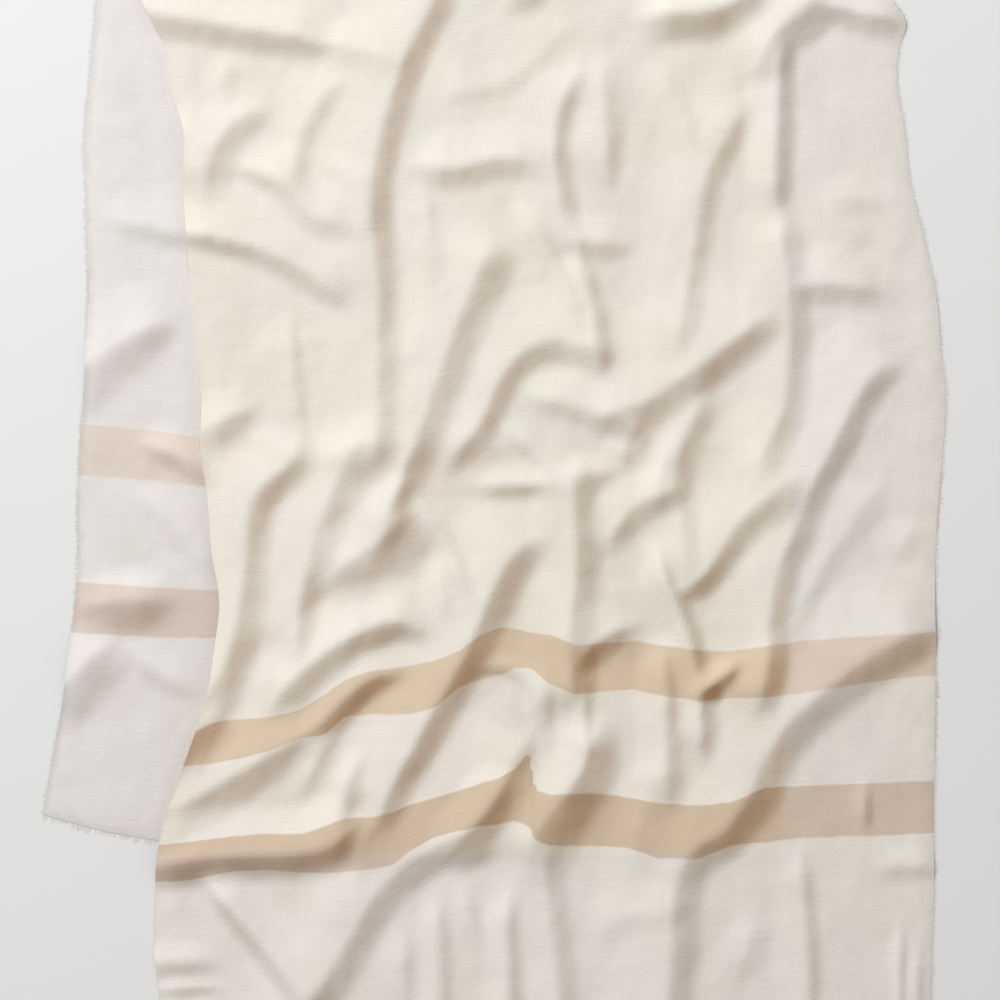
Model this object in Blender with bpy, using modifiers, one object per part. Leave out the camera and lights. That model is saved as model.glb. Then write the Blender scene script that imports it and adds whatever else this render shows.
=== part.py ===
"""Gauze scarf, folded once across its length and laid out flat on a surface.

Metres, +Z up, the surface at z = 0. The fold lies at +Y and both woven ends at -Y. The upper half is
rumpled and covers most of the lower half, whose left side and left corner show beside it.
"""
import math

import bmesh
import bpy
import numpy as np

# Driving dimensions, in metres.
END_WIDTH = 0.702         # the upper woven end as it lies, with the fray of its two sides
WALL = 0.0012             # the gauze with its crinkle
LAYER_GAP = 0.0006        # between the lower half and the upper half that lies on it
EDGE_GAP = 0.0007         # between a wall and the strip that carries its fringe
FOLD_ROLL = 0.0075        # height of the soft roll where the scarf turns over
FOLD_SETTLE = 0.045       # the roll has sunk to the layers this far from the fold
FRINGE_STRIP = 0.0025     # width of the strip that a fringe hangs from
FRINGE_WALL = 0.0009
STRAND_LENGTH = 0.0050
STRAND_TIP = 0.35         # a strand's tip, as a share of its root
END_PITCH = 0.0142        # from strand to strand along the woven ends
SIDE_PITCH = 0.0202       # and along the frayed sides
FOLD_CAP = 0.034          # the cloth nowhere stands higher than this
LEAF = 0.004              # flat part on each side of the roll

# The plan: across runs to the right and down runs away from the fold. One unit is 0.9 mm.
PLAN_END_WIDTH = 780.0
UNIT = END_WIDTH / PLAN_END_WIDTH
MIDDLE_ACROSS = 495.5
MIDDLE_DOWN = 479.6
FOLD_DOWN = -100.0        # where the cloth starts to turn over
TURN_GAP = 0.4
LOWER_STEP = 10.0         # the upper half steps down to the surface within this distance
LOWER_CLEAR = 4.0         # the lower half lies flat from this far outside the upper half's edge,
LOWER_EASE = 26.0         # and its folds reach their height this much further out
FOLD_EASE = 40.0          # its folds also start this far from the turned fold
FRINGE_REACH = (EDGE_GAP + FRINGE_STRIP + STRAND_LENGTH) / UNIT

# The outline with its fringes. A row for each station down the cloth.
# down, left edge and right edge of the lower half, left edge and right edge of the upper half
OUTLINE = (
    (-100, 118, 828, 118, 828),
    (-50, 106, 789, 125, 866),
    (0, 92, 750, 140, 898),
    (45, 88, 756, 163, 897),
    (90, 84, 759, 169, 902),
    (130, 80, 763, 182, 909),
    (180, 81, 767, 182, 914),
    (240, 82, 776, 185, 929),
    (300, 84, 786, 190, 941),
    (350, 82, 788, 195, 945),
    (400, 79, 788, 200, 950),
    (450, 75, 788, 199, 947),
    (500, 74, 788, 206, 943),
    (550, 74, 788, 210, 940),
    (600, 71, 788, 218, 939),
    (650, 65, 787, 213, 940),
    (700, 59, 787, 205, 940),
    (750, 50, 786, 188, 939),
    (800, 41, 786, 170, 938),
    (850, 31, 786, 157, 938),
    (900, 21, 786, 153, 938),
    (950, 11, 786, 153, 936),
    (1000, 1, 786, 158, 935),
    (1070, -13, 786, 160, 934),
)
# The two woven ends with their fringes: across, down.
LOWER_END = ((20, 816), (45, 823), (100, 838), (155, 848), (300, 852), (790, 852))
UPPER_END = ((140, 1069), (300, 1064), (500, 1056), (700, 1048), (950, 1040))

# The folds. Each run is listed with its shaded, steep side on the right of the way it goes.
# name, rise in mm, width of the gentle side, width of the steep side at the start and at the end,
# run of (across, down)
UPPER_FOLDS = (
    ("top bar", 13, 50, 30, 24,
     ((90, 14), (160, 28), (200, 34), (230, 39), (262, 46), (290, 51), (324, 56))),
    ("left hook", 9, 36, 28, 24,
     ((214, 236), (218, 205), (223, 180), (231, 158), (243, 136), (268, 110), (296, 92))),
    ("small curl", 6, 40, 18, 20, ((302, 202), (307, 162), (314, 138), (323, 118), (339, 98), (360, 76))),
    ("left slope", 12, 40, 20, 28,
     ((222, 170), (250, 177), (276, 189), (294, 204), (312, 219), (344, 236))),
    ("left sweep", 12, 62, 18, 24,
     ((168, 238), (190, 241), (220, 247), (250, 255), (275, 265), (300, 280), (322, 296), (352, 318))),
    ("long groove", 11, 80, 22, 30,
     ((388, 440), (389, 400), (389, 340), (389, 290), (389, 250), (386, 212), (386, 180), (390, 150),
      (401, 102), (420, 52), (440, 12), (457, -40))),
    ("middle bar", 11, 44, 22, 28,
     ((398, 170), (440, 181), (468, 179), (496, 171), (524, 173), (570, 180))),
    ("high sweep", 3, 48, 22, 20, ((430, 108), (470, 98), (505, 91), (532, 72), (556, 50), (580, 20))),
    ("centre fall", 10, 50, 22, 18,
     ((594, 262), (575, 222), (567, 190), (564, 165), (564, 140), (567, 114), (576, 90), (592, 66))),
    ("centre soft", 8, 44, 20, 34, ((612, 208), (615, 160), (616, 120), (614, 84), (612, 44))),
    ("top right bar", 19, 40, 40, 30, ((630, 34), (676, 29), (704, 26), (732, 18), (784, -16))),
    ("long slope", 13, 72, 28, 30,
     ((388, 534), (406, 490), (417, 462), (427, 436), (438, 404), (449, 374), (460, 344), (471, 316),
      (481, 290), (491, 268), (510, 238))),
    ("right crown", 14, 50, 38, 42, ((742, 96), (768, 66), (790, 40), (816, 18), (856, -16))),
    ("right fall", 11, 34, 18, 16, ((782, 226), (783, 170), (785, 130), (786, 90), (789, 30))),
    ("right shelf", 9, 44, 28, 28, ((780, 300), (820, 295), (850, 297), (896, 305))),
    ("right long", 10, 54, 22, 16,
     ((751, 498), (769, 452), (780, 430), (789, 405), (795, 370), (798, 335), (798, 302), (792, 262),
      (788, 230), (786, 196))),
    ("edge bar", 12, 30, 18, 34, ((806, 4), (848, 20), (876, 28), (912, 34))),
    ("right slope", 8, 60, 20, 24,
     ((680, 366), (692, 312), (698, 280), (703, 248), (707, 220), (711, 190), (720, 164), (735, 140),
      (745, 114), (755, 80))),
    ("left bulge", 7, 36, 34, 28, ((184, 448), (225, 434), (270, 404))),
    ("left long", 13, 56, 36, 22,
     ((156, 812), (203, 738), (217, 706), (232, 672), (241, 640), (248, 605), (254, 565), (256, 530),
      (264, 503), (282, 486), (304, 464), (310, 420))),
    ("left long top", 4, 40, 16, 16, ((306, 452), (304, 410), (299, 370), (294, 306))),
    ("left second", 11, 50, 18, 44,
     ((302, 672), (307, 620), (313, 590), (321, 560), (332, 530), (343, 505), (355, 480), (374, 432))),
    ("left shoulder", 14, 44, 34, 48, ((320, 605), (354, 579), (382, 560), (406, 539), (440, 510))),
    ("centre arch", 10, 56, 20, 30,
     ((446, 482), (466, 456), (484, 438), (496, 416), (506, 395), (520, 373), (538, 359), (561, 354),
      (589, 360), (630, 372))),
    ("centre lip", 6, 34, 20, 24, ((512, 394), (548, 408), (584, 418), (624, 432), (650, 462))),
    ("right arm", 17, 90, 30, 32,
     ((580, 432), (642, 415), (666, 404), (687, 391), (706, 376), (725, 362), (745, 350), (764, 336),
      (796, 306))),
    ("centre post", 12, 50, 26, 24,
     ((590, 744), (584, 690), (582, 650), (583, 620), (587, 580), (586, 540), (583, 500), (581, 436))),
    ("long spine", 15, 70, 26, 34,
     ((376, 842), (403, 784), (421, 753), (436, 725), (451, 699), (466, 670), (479, 641), (493, 610),
      (507, 582), (527, 558), (572, 536))),
    ("post side", 10, 34, 26, 28, ((602, 570), (620, 538), (638, 517), (660, 504), (698, 490))),
    ("right post", 6, 44, 14, 30,
     ((694, 594), (692, 540), (690, 505), (687, 474), (693, 448), (702, 425), (714, 405), (736, 366))),
    ("right wing", 13, 66, 24, 28,
     ((756, 722), (772, 674), (777, 630), (780, 600), (788, 566), (799, 538), (809, 512), (824, 484),
      (842, 456), (857, 426), (872, 396), (890, 375), (924, 362))),
    ("right valley", 15, 60, 20, 32,
     ((666, 608), (700, 588), (718, 572), (733, 554), (749, 536), (768, 520), (820, 484))),
    ("left third", 16, 44, 44, 20,
     ((250, 752), (292, 700), (310, 682), (330, 665), (352, 649), (376, 638), (400, 633), (440, 646))),
    ("stripe shoulder", 14, 60, 22, 18,
     ((90, 890), (170, 828), (202, 809), (234, 791), (262, 776), (290, 758), (318, 740), (336, 722),
      (351, 705), (367, 691), (388, 680), (418, 673))),
    ("bottom bar", 18, 52, 30, 28,
     ((116, 886), (180, 876), (215, 873), (255, 870), (295, 868), (326, 861), (348, 847), (376, 816))),
    ("bar riser", 4, 40, 18, 16, ((348, 860), (354, 818), (357, 786), (368, 744))),
    ("bottom big", 14, 76, 24, 34,
     ((266, 1090), (328, 1000), (352, 962), (368, 934), (387, 904), (409, 880), (433, 863), (458, 850),
      (482, 836), (500, 817), (514, 794), (528, 768), (546, 722))),
    ("centre blob", 16, 50, 56, 20,
     ((524, 900), (548, 842), (562, 820), (576, 798), (588, 774), (602, 736))),
    ("bottom post", 9, 44, 26, 26, ((574, 1080), (569, 1000), (564, 950), (559, 905), (550, 834))),
    ("right big", 15, 80, 22, 34,
     ((678, 1080), (681, 1000), (685, 950), (688, 905), (692, 880), (705, 857), (728, 841), (746, 821),
      (760, 800), (773, 774), (790, 745), (811, 720), (835, 700), (863, 682), (901, 660), (950, 638))),
    ("stripe drop", 11, 32, 30, 24,
     ((677, 832), (678, 778), (677, 735), (676, 705), (673, 672), (669, 628))),
    ("right lower post", 6, 36, 16, 16, ((816, 1080), (815, 1000), (813, 950), (810, 905), (803, 836))),
)
LOWER_FOLDS = (
    ("left sweep", 5, 44, 22, 20, ((96, 222), (136, 232), (164, 239), (205, 246), (250, 254))),
    ("hidden knee", 9, 60, 60, 22, ((54, 414), (90, 380), (114, 357), (138, 341), (164, 330), (196, 322))),
    ("stripe shade", 10, 36, 34, 30, ((74, 624), (134, 618), (182, 611))),
    ("low blotch", 11, 44, 50, 44, ((48, 722), (84, 690), (112, 660), (138, 630))),
    ("stripe streak", 7, 26, 18, 18, ((128, 444), (160, 456), (182, 468), (216, 496))),
    ("faint run", 4, 30, 20, 20, ((120, 486), (160, 524), (190, 560), (216, 598))),
    ("low valley", 4, 30, 18, 18, ((114, 636), (150, 676), (206, 704))),
)

# How the two halves are built: cells across and down, share of the faces that is kept.
# How a fold is shaped. Distances in plan units, the rest as shares.
TAPER_SHARE = 0.42        # a fold tapers over this share of its run at each end,
TAPER_LENGTH = 46.0       # or over this distance where that is shorter
TIP_WIDTH = 0.62          # width of its tips
STEEP_SLANT = 0.45        # how much of the steep side is a straight slant
CREST_DIP = 0.84          # how soon the gentle side sinks behind the crest
BLEND_WIDTH = 3.0         # curves are followed with this softness beside their run,
BLEND_GROWTH = 0.12       # and softer further away
FADE_FROM = 0.75          # a fold fades out from this share of its reach
CURVE_SPACING = 6.0

# How the cloth's grids are spaced.
FIRST_DOWN = 600.0        # first estimate of the woven end's station
PLACE_ROUNDS = 6          # rounds that settle a place between the curved edges
EDGE_STEP = 0.004         # an edge's direction is taken over this share of its length
EDGE_SAMPLES = 60         # and its length over this many places
UPPER_CELLS = (150, 225)
UPPER_KEEP = 0.048
LOWER_CELLS = (150, 190)
LOWER_KEEP = 0.016
FOLD_CELLS = (24, 8)

LINEN = (0.83, 0.79, 0.70)
SHADED_LINEN = (0.78, 0.74, 0.70)
FRINGE_LINEN = (0.80, 0.76, 0.69)


def smooth(share):
    """Ease from 0 to 1."""
    share = np.clip(share, 0.0, 1.0)
    return share * share * (3.0 - 2.0 * share)


def follow(rows, column, at):
    """Read one column of a table at any station, along a smooth curve through its rows."""
    stations = np.array([row[0] for row in rows], dtype=float)
    values = np.array([row[column] for row in rows], dtype=float)
    slopes = np.gradient(values, stations)
    at = np.clip(np.asarray(at, dtype=float), stations[0], stations[-1])
    index = np.clip(np.searchsorted(stations, at) - 1, 0, len(stations) - 2)
    step = stations[index + 1] - stations[index]
    t = (at - stations[index]) / step
    start = values[index] + t * (1 - t) * (1 - t) * slopes[index] * step
    start = start - (3 * t * t - 2 * t ** 3) * values[index]
    end = (3 * t * t - 2 * t ** 3) * values[index + 1] - t * t * (1 - t) * slopes[index + 1] * step
    return start + end


def run_curve(run):
    """Points along a smooth curve through a fold's run, their steep-side normals and their distances."""
    knots = np.array(run, dtype=float)
    ends = (2 * knots[0] - knots[1], 2 * knots[-1] - knots[-2])
    knots = np.vstack([ends[0], knots, ends[1]])
    points = []
    for a, b, c, d in zip(knots[:-3], knots[1:-2], knots[2:-1], knots[3:]):
        count = max(2, int(np.hypot(*(c - b)) / CURVE_SPACING))
        for t in np.arange(count) / count:
            points.append(0.5 * (2 * b + (c - a) * t + (2 * a - 5 * b + 4 * c - d) * t * t
                                 + (3 * b - a - 3 * c + d) * t ** 3))
    points.append(knots[-2])
    points = np.array(points)
    tangents = np.gradient(points, axis=0)
    tangents /= np.hypot(tangents[:, 0], tangents[:, 1])[:, None]
    normals = np.column_stack([-tangents[:, 1], tangents[:, 0]])
    steps = np.hypot(*np.diff(points, axis=0).T)
    return points, normals, np.concatenate([[0.0], np.cumsum(steps)])


def fold_rise(across, down, fold):
    """Height in metres that one fold adds at the given places of the plan."""
    name, rise, gentle, steep_start, steep_end, run = fold
    points, normals, distances = run_curve(run)
    reach = gentle + max(steep_start, steep_end)
    near = ((across > points[:, 0].min() - reach) & (across < points[:, 0].max() + reach)
            & (down > points[:, 1].min() - reach) & (down < points[:, 1].max() + reach))
    height = np.zeros(across.shape)
    place = np.column_stack([across[near], down[near]])
    if len(place) == 0:
        return height
    offset = place[:, None, :] - points[None, :, :]
    away = np.hypot(offset[:, :, 0], offset[:, :, 1])
    nearest = away.min(axis=1, keepdims=True)
    weight = np.exp(-(away - nearest) / (BLEND_WIDTH + BLEND_GROWTH * nearest))
    weight /= weight.sum(axis=1, keepdims=True)
    along = (weight * distances[None, :]).sum(axis=1)
    side = (weight * (offset * normals[None, :, :]).sum(axis=2)).sum(axis=1)
    total = distances[-1]
    taper = min(TAPER_SHARE * total, TAPER_LENGTH)
    tip = smooth(along / taper) * smooth((total - along) / taper)
    tip *= 1.0 - smooth((nearest[:, 0] / reach - FADE_FROM) / (1.0 - FADE_FROM))
    slim = TIP_WIDTH + (1.0 - TIP_WIDTH) * tip
    steep = (steep_start + (steep_end - steep_start) * along / total) * slim
    back = np.clip((-side - steep / 2) / (gentle * slim), 0.0, 1.0)
    front = np.clip((steep / 2 - side) / steep, 0.0, 1.0)
    gentle_side = (1 - back) ** 2 * (1 + 2 * back) * (1 - CREST_DIP * back * (1 - back))
    steep_side = STEEP_SLANT * front + (1.0 - STEEP_SLANT) * smooth(front)
    height[near] = 0.001 * rise * tip * np.where(side < -steep / 2, gentle_side, steep_side)
    return height


def rumple(across, down, folds):
    """Height in metres of all the folds of one half together."""
    total = sum(fold_rise(across, down, fold) for fold in folds)
    return FOLD_CAP * np.tanh(total / FOLD_CAP)


def lower_top(across, down):
    """Top surface of the lower half: folded where it shows, flat where the upper half lies on it."""
    clear = follow(OUTLINE, 3, down) - LOWER_CLEAR - across
    shown = smooth(clear / LOWER_EASE)
    inside = smooth((down - FOLD_DOWN) / FOLD_EASE)
    return WALL + rumple(across, down, LOWER_FOLDS) * shown * inside


def upper_top(across, down):
    """Top surface of the upper half, over the lower half or on the surface beside it."""
    beyond_side = across - follow(OUTLINE, 2, down)
    beyond_end = down - follow(LOWER_END, 1, across)
    over = smooth(1.0 - np.maximum(beyond_side, beyond_end) / LOWER_STEP)
    base = (WALL + LAYER_GAP) * over
    roll = smooth(1.0 - (down - FOLD_DOWN) * UNIT / FOLD_SETTLE)
    folded = rumple(across, down, UPPER_FOLDS) * (1.0 - roll)
    return base + WALL + folded + (FOLD_ROLL - 2 * WALL - LAYER_GAP) * roll


def to_metres(across, down, height):
    """Places of the plan as points in metres."""
    return np.column_stack([(across - MIDDLE_ACROSS) * UNIT, (MIDDLE_DOWN - down) * UNIT, height])


def material(name, colour):
    """One plain woven finish."""
    finish = bpy.data.materials.new(name)
    finish.use_nodes = True
    shader = finish.node_tree.nodes["Principled BSDF"]
    shader.inputs["Base Color"].default_value = (*colour, 1.0)
    shader.inputs["Roughness"].default_value = 0.92
    shader.inputs["Metallic"].default_value = 0.0
    finish.diffuse_color = (*colour, 1.0)
    return finish


def add_object(name, mesh, finish, collection):
    """A named piece with its finish, in the scarf's collection."""
    piece = bpy.data.objects.new(name, mesh)
    mesh.materials.append(finish)
    collection.objects.link(piece)
    return piece


def thicken(piece, thickness):
    """Give an open sheet its wall, below the surface that was modelled."""
    wall = piece.modifiers.new("wall", "SOLIDIFY")
    wall.thickness = thickness
    wall.offset = -1.0
    wall.use_rim = True
    wall.use_even_offset = False


def unit_grid(cells_across, cells_down):
    """A flat grid whose corners are 0,0 and 1,1."""
    grid = bmesh.new()
    bmesh.ops.create_grid(grid, x_segments=cells_across, y_segments=cells_down, size=0.5)
    bmesh.ops.translate(grid, verts=grid.verts, vec=(0.5, 0.5, 0.0))
    return grid


def half_places(u, v, left, right, end):
    """Places on one half of the scarf: u runs from its left edge to its right edge, v from fold to end."""
    inset = FRINGE_REACH
    start = FOLD_DOWN + TURN_GAP
    down = start + v * (FIRST_DOWN - start)
    for _ in range(PLACE_ROUNDS):
        first = follow(OUTLINE, left, down) + inset
        last = follow(OUTLINE, right, down) - inset
        across = first + u * (last - first)
        finish = follow(end, 1, across) - inset
        down = start + v * (finish - start)
    return across, down


def cloth_half(name, cells, keep, left, right, end, top, finish, collection):
    """One half of the scarf: a fine grid in its outline, shaped by its folds, thinned out and thickened."""
    grid = unit_grid(*cells)
    place = np.array([vert.co for vert in grid.verts])
    across, down = half_places(place[:, 0], 1.0 - place[:, 1], left, right, end)
    points = to_metres(across, down, top(across, down))
    for vert, point in zip(grid.verts, points):
        vert.co = point
    mesh = bpy.data.meshes.new(name + "_fine")
    grid.to_mesh(mesh)
    grid.free()
    fine = bpy.data.objects.new(name + "_fine", mesh)
    collection.objects.link(fine)
    thin_out = fine.modifiers.new("thin_out", "DECIMATE")
    thin_out.ratio = keep
    depsgraph = bpy.context.evaluated_depsgraph_get()
    coarse = bpy.data.meshes.new_from_object(fine.evaluated_get(depsgraph))
    bpy.data.objects.remove(fine)
    kept = np.array([vert.co for vert in coarse.vertices])
    heights = top(kept[:, 0] / UNIT + MIDDLE_ACROSS, MIDDLE_DOWN - kept[:, 1] / UNIT)
    for vert, height in zip(coarse.vertices, heights):
        vert.co.z = height
    coarse.name = name
    coarse.shade_smooth()
    piece = add_object(name, coarse, finish, collection)
    thicken(piece, WALL)
    return piece


def turn_over(name, finish, collection):
    """The fold: a soft half roll that joins the two halves at the far side."""
    grid = unit_grid(*FOLD_CELLS)
    radius = FOLD_ROLL / 2
    arc = math.pi * radius
    length = arc + 2 * LEAF
    left = float(follow(OUTLINE, 1, FOLD_DOWN)) + FRINGE_REACH
    right = float(follow(OUTLINE, 2, FOLD_DOWN)) - FRINGE_REACH
    back = (MIDDLE_DOWN - FOLD_DOWN) * UNIT
    for vert in grid.verts:
        across = left + vert.co.x * (right - left)
        run = vert.co.y * length
        if run < LEAF:
            y, z = back + run, 0.0
        elif run > LEAF + arc:
            y, z = back + length - run, FOLD_ROLL
        else:
            angle = (run - LEAF) / radius
            y, z = back + LEAF + radius * math.sin(angle), radius - radius * math.cos(angle)
        vert.co = ((across - MIDDLE_ACROSS) * UNIT, y, z)
    bmesh.ops.reverse_faces(grid, faces=grid.faces)
    mesh = bpy.data.meshes.new(name)
    grid.to_mesh(mesh)
    grid.free()
    mesh.shade_smooth()
    piece = add_object(name, mesh, finish, collection)
    thicken(piece, WALL)
    return piece


def fringe(name, edge, count, outward, top, finish, collection):
    """A narrow strip along an edge with its strands. edge(share) gives the places along a wall's edge."""
    grid = unit_grid(2 * count + 1, 1)
    strip = FRINGE_STRIP / UNIT
    gap = EDGE_GAP / UNIT
    strand = STRAND_LENGTH / UNIT
    cell = 1.0 / (2 * count + 1)
    roots = []
    for rim in grid.edges:
        middle = 0.5 * (rim.verts[0].co + rim.verts[1].co)
        if middle.y > 0.999 and int(middle.x / cell) % 2 == 1:
            roots.append(rim)
    grown = bmesh.ops.extrude_edge_only(grid, edges=roots)["geom"]
    tips = [item for item in grown if isinstance(item, bmesh.types.BMVert)]
    for tip in tips:
        side = 1.0 if round(tip.co.x / cell) % 2 == 0 else -1.0
        tip.co.x -= side * 0.5 * (1.0 - STRAND_TIP) * cell
        tip.co.y = 2.0
    share = np.array([vert.co.x for vert in grid.verts])
    row = np.array([vert.co.y for vert in grid.verts])
    across, down = edge(share)
    ahead = edge(np.minimum(share + EDGE_STEP, 1.0))
    behind = edge(np.maximum(share - EDGE_STEP, 0.0))
    tangent = np.column_stack([ahead[0] - behind[0], ahead[1] - behind[1]])
    tangent /= np.hypot(tangent[:, 0], tangent[:, 1])[:, None]
    normal = outward * np.column_stack([tangent[:, 1], -tangent[:, 0]])
    out = gap + np.minimum(row, 1.0) * strip + np.maximum(row - 1.0, 0.0) * strand
    height = top(across, down)
    points = to_metres(across + normal[:, 0] * out, down + normal[:, 1] * out, height)
    for vert, point in zip(grid.verts, points):
        vert.co = point
    grid.normal_update()
    if sum(face.normal.z for face in grid.faces) < 0:
        bmesh.ops.reverse_faces(grid, faces=grid.faces)
    mesh = bpy.data.meshes.new(name)
    grid.to_mesh(mesh)
    grid.free()
    piece = add_object(name, mesh, finish, collection)
    thicken(piece, FRINGE_WALL)
    return piece


def side_edge(u, left, right, end):
    """The long edge of one half at u = 0 or 1, as places for a share of its length."""
    def edge(share):
        share = np.asarray(share, dtype=float)
        return half_places(np.full(share.shape, float(u)), share, left, right, end)
    return edge


def end_edge(left, right, end):
    """The woven end of one half, as places for a share of its length."""
    def edge(share):
        share = np.asarray(share, dtype=float)
        return half_places(share, np.ones(share.shape), left, right, end)
    return edge


def strands_along(edge, pitch):
    """How many strands fit along an edge."""
    across, down = edge(np.linspace(0.0, 1.0, EDGE_SAMPLES))
    return int(np.hypot(np.diff(across), np.diff(down)).sum() * UNIT / pitch)


def main():
    for item in list(bpy.data.objects):
        bpy.data.objects.remove(item)
    scarf = bpy.data.collections.new("gauze_scarf")
    bpy.context.scene.collection.children.link(scarf)

    linen = material("linen", LINEN)
    shaded = material("shaded_linen", SHADED_LINEN)
    frayed = material("frayed_linen", FRINGE_LINEN)

    cloth_half("lower_stretch", LOWER_CELLS, LOWER_KEEP, 1, 2, LOWER_END, lower_top, shaded, scarf)
    turn_over("fold_stretch", linen, scarf)
    cloth_half("upper_stretch", UPPER_CELLS, UPPER_KEEP, 3, 4, UPPER_END, upper_top, linen, scarf)

    hems = (
        ("upper_end_fringe", end_edge(3, 4, UPPER_END), END_PITCH, -1, upper_top),
        ("lower_end_fringe", end_edge(1, 2, LOWER_END), END_PITCH, -1, lower_top),
        ("upper_left_fringe", side_edge(0, 3, 4, UPPER_END), SIDE_PITCH, -1, upper_top),
        ("upper_right_fringe", side_edge(1, 3, 4, UPPER_END), SIDE_PITCH, 1, upper_top),
        ("lower_left_fringe", side_edge(0, 1, 2, LOWER_END), SIDE_PITCH, -1, lower_top),
    )
    for name, edge, pitch, outward, top in hems:
        fringe(name, edge, strands_along(edge, pitch), outward, top, frayed, scarf)


main()
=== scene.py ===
"""Looks of a gauze scarf, folded once across its length and laid out rumpled on a pale surface."""

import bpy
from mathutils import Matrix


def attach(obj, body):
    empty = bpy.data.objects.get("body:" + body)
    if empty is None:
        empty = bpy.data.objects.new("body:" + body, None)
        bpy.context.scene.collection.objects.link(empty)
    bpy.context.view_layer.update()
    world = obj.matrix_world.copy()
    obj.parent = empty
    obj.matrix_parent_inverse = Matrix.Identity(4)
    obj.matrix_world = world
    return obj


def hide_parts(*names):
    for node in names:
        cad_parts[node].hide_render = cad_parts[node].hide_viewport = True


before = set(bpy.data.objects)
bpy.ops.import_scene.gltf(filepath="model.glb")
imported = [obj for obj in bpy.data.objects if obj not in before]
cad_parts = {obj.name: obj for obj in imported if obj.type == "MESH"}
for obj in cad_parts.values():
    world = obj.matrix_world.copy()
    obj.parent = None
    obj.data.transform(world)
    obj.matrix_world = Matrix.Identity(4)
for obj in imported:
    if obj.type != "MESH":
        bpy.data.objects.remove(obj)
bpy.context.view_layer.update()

import math
import random
from collections import namedtuple

import bmesh
import bpy
import numpy as np
from bpy.props import FloatProperty, FloatVectorProperty, PointerProperty
from mathutils import Vector, noise

bl_info = {
    "name": "Gauze scarf",
    "version": (1, 0, 0),
    "blender": (4, 5, 0),
    "location": "View3D > Sidebar > Scarf",
    "description": "Builds the cloth, the frayed edges and the stage of a folded gauze scarf",
    "category": "Add Mesh",
}

# The plan: across runs to the right and down runs away from the fold. One unit is 0.9 mm. Lengths below
# 1 are in metres here, and longer ones are in plan units, as the tables are.
END_WIDTH = 0.702         # the upper woven end as it lies, with the fray of its two sides
PLAN_END_WIDTH = 780.0    # and the same width in plan units
UNIT = END_WIDTH / PLAN_END_WIDTH
MIDDLE_ACROSS = 495.5     # the middle of the scarf's box, in plan units
MIDDLE_DOWN = 479.6
FOLD_DOWN = -100.0        # where the cloth starts to turn over
FOLD_ROLL = 0.0075        # height of the soft roll where the scarf turns over
FOLD_SETTLE = 0.045       # the roll has sunk to the layers this far from the fold
FOLD_LEAF = 0.004         # the cloth runs on this far past the roll, under itself
FOLD_CAP = 0.034          # folds that meet stand no higher than this together
SIDE_FRAY = 0.0036        # from the cloth's edge to the tips of its fray: sides, ends and the
END_FRAY = 0.0072         # upper half's left side, where the edge is whole
WHOLE_FRAY = 0.0014
LOOSE_EDGE = 0.008        # the weave is loose this far in from a frayed edge,
LOOSE_UNEVEN = 0.012      # which varies by this much from place to place
CONTACT_RISE = 0.009      # the layers have parted where folds rise this high
LAYER_GAP = 0.5           # gap between the layers, as a share of their thickness
SURFACE_GAP = 0.00005     # and between the cloth and the surface
STEP_START = 2.0          # the upper half steps down this far outside the lower one's edges
LOWER_STEP = 9.0          # and reaches the surface within this distance
HIDDEN_REACH = 34.0       # the lower half's folds end this far under the upper half
HIDDEN_FADE = 44.0        # after fading out over this distance
ROLL_CALM = 40.0          # and they rise over this distance from the roll
EDGE_CALM = 16.0          # the crinkle fades out over this distance towards an edge
BARE_CALM = 12.0          # and over this one towards the upper half
BROAD_WAVE = (34.0, 46.0, 0.7)    # the crinkle's two waves: across, down, share
FINE_WAVE = (13.0, 17.0, 0.3)
UPPER_CRINKLE = (0.0016, 0.0008, 3.0)    # depth, lift, seed
LOWER_CRINKLE = (0.0013, 0.0007, 41.0)
PICTURE = 1000.0          # the picture is this many plan units wide and high

# How every fold is shaped, in plan units and shares.
RUN_SPACING = 6.0         # from one point of a fold's run to the next
RUN_BLUR = (3.0, 0.12)    # how far beyond the nearest point others count, and its growth
TIP_SHARE = 0.42          # a fold fades out at each tip over this share of its run,
TIP_LENGTH = 46.0         # or this distance where that is less,
TIP_SLIM = 0.62           # and is this share of its width there
REACH_SHARE = 0.75        # it holds for this share of its reach, then fades out
CREST_SHARE = 0.42        # its crest lies this share of its steep side before its run
SAG = 0.84                # how hollow its gentle side is
CREST_SHARP = 1.7         # how crisp its crest is

# Distances along the cloth from a woven end, in metres: where the two tan bands start and stop.
FIRST_BAND = (0.190, 0.237)
SECOND_BAND = (0.335, 0.382)
UPPER_LENGTH = 1.09
LOWER_LENGTH = 0.89
CUT_WIDTH = 0.75

# The outline with its fringes. A row for each station down the cloth.
# down, left edge and right edge of the lower half, left edge and right edge of the upper half
OUTLINE = (
    (-100, 118, 828, 118, 828),
    (-50, 106, 789, 125, 866),
    (0, 92, 750, 140, 896),
    (24, 90, 753, 152, 910),
    (45, 88, 756, 163, 904),
    (90, 84, 759, 169, 902),
    (130, 80, 763, 182, 909),
    (180, 81, 767, 182, 914),
    (240, 82, 776, 185, 929),
    (300, 84, 786, 190, 941),
    (350, 82, 788, 195, 945),
    (400, 79, 788, 200, 950),
    (450, 75, 788, 199, 947),
    (500, 74, 788, 206, 943),
    (550, 74, 788, 210, 940),
    (600, 71, 788, 218, 939),
    (650, 65, 787, 213, 940),
    (700, 59, 787, 205, 940),
    (750, 50, 786, 188, 939),
    (800, 41, 786, 170, 938),
    (850, 31, 786, 157, 938),
    (900, 21, 786, 153, 938),
    (950, 11, 786, 153, 936),
    (1000, 1, 786, 158, 935),
    (1070, -13, 786, 160, 934),
)
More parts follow.
